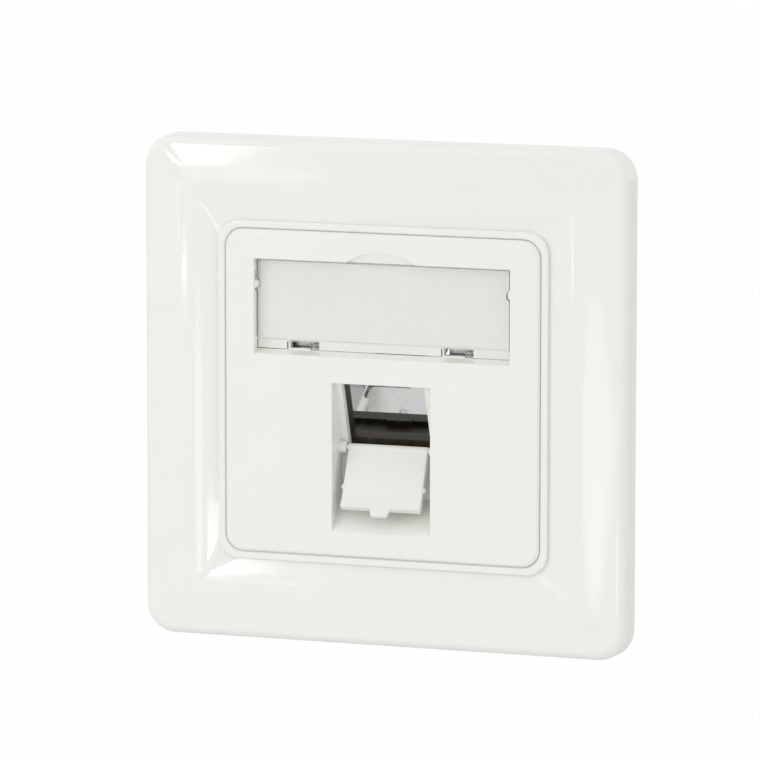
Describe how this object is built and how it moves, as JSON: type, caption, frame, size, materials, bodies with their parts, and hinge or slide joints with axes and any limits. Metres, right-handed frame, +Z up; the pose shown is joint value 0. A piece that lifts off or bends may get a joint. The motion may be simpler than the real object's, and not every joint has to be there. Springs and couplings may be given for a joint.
{
  "type": "flush keystone outlet",
  "caption": "White flush-mounted keystone outlet with a square cover frame, label window, open dust flap and slanted port.",
  "frame": {"origin": "centre of the outlet on the wall's surface, in the plane of the support ring's back", "axes": "+X to the right along the wall, +Y into the wall, +Z up; the cover stands out towards -Y"},
  "size_m": [0.08, 0.0378, 0.08],
  "materials": {
    "outer_frame": "gloss",
    "centre_plate": "gloss",
    "dust_flap": "satin",
    "label_cover": "clear",
    "label_card": "matte",
    "support_ring": "zinc plated",
    "module_holder": "dark cast",
    "claws": "zinc plated",
    "screws": "bright"
  },
  "bodies": {
    "outlet": {"outer_frame": "outer_frame", "centre_plate": "centre_plate", "label_cover": "label_cover", "label_card": "label_card", "support_ring": "support_ring", "module_holder": "module_holder", "plate_screw_left": "screws", "box_screw_left": "screws", "plate_screw_right": "screws", "box_screw_right": "screws", "holder_rivet_1": "screws", "holder_rivet_2": "screws", "holder_rivet_3": "screws", "holder_rivet_4": "screws"},
    "flap": {"dust_flap": "dust_flap"},
    "drive_screw_left": {"claw_screw_left": "screws"},
    "swing_claw_left": {"claw_left": "claws"},
    "draw_nut_left": {"claw_nut_left": "screws"},
    "drive_screw_right": {"claw_screw_right": "screws"},
    "swing_claw_right": {"claw_right": "claws"},
    "draw_nut_right": {"claw_nut_right": "screws"}
  },
  "joints": [
    {"name": "flap_hinge", "type": "hinge", "parent": "outlet", "child": "flap", "pos_m": [0, -0.0015, -0.0088], "axis": [-1, 0, 0], "range_deg": [0, 129]},
    {"name": "claw_screw_left_turn", "type": "hinge", "parent": "outlet", "child": "drive_screw_left", "pos_m": [-0.021, 0, -0.0063], "axis": [0, 1, 0], "range_deg": [0, 1950]},
    {"name": "claw_left_swing", "type": "hinge", "parent": "outlet", "child": "swing_claw_left", "pos_m": [-0.016, 0.0009, -0.0063], "axis": [0, 0, 1], "range_deg": [0, 25]},
    {"name": "claw_nut_left_travel", "type": "slide", "parent": "outlet", "child": "draw_nut_left", "axis": [0, -1, 0], "range_m": [0, 0.0038]},
    {"name": "claw_screw_right_turn", "type": "hinge", "parent": "outlet", "child": "drive_screw_right", "pos_m": [0.021, 0, -0.0063], "axis": [0, 1, 0], "range_deg": [0, 1950]},
    {"name": "claw_right_swing", "type": "hinge", "parent": "outlet", "child": "swing_claw_right", "pos_m": [0.016, 0.0009, -0.0063], "axis": [0, 0, -1], "range_deg": [0, 25]},
    {"name": "claw_nut_right_travel", "type": "slide", "parent": "outlet", "child": "draw_nut_right", "axis": [0, -1, 0], "range_m": [0, 0.0038]}
  ],
  "couplings": [
    {"joint": "claw_left_swing", "follows": "claw_screw_left_turn", "ratio": 0.0128},
    {"joint": "claw_nut_left_travel", "follows": "claw_screw_left_turn", "m_per_rad": 0.00011141},
    {"joint": "claw_right_swing", "follows": "claw_screw_right_turn", "ratio": 0.0128},
    {"joint": "claw_nut_right_travel", "follows": "claw_screw_right_turn", "m_per_rad": 0.00011141}
  ]
}
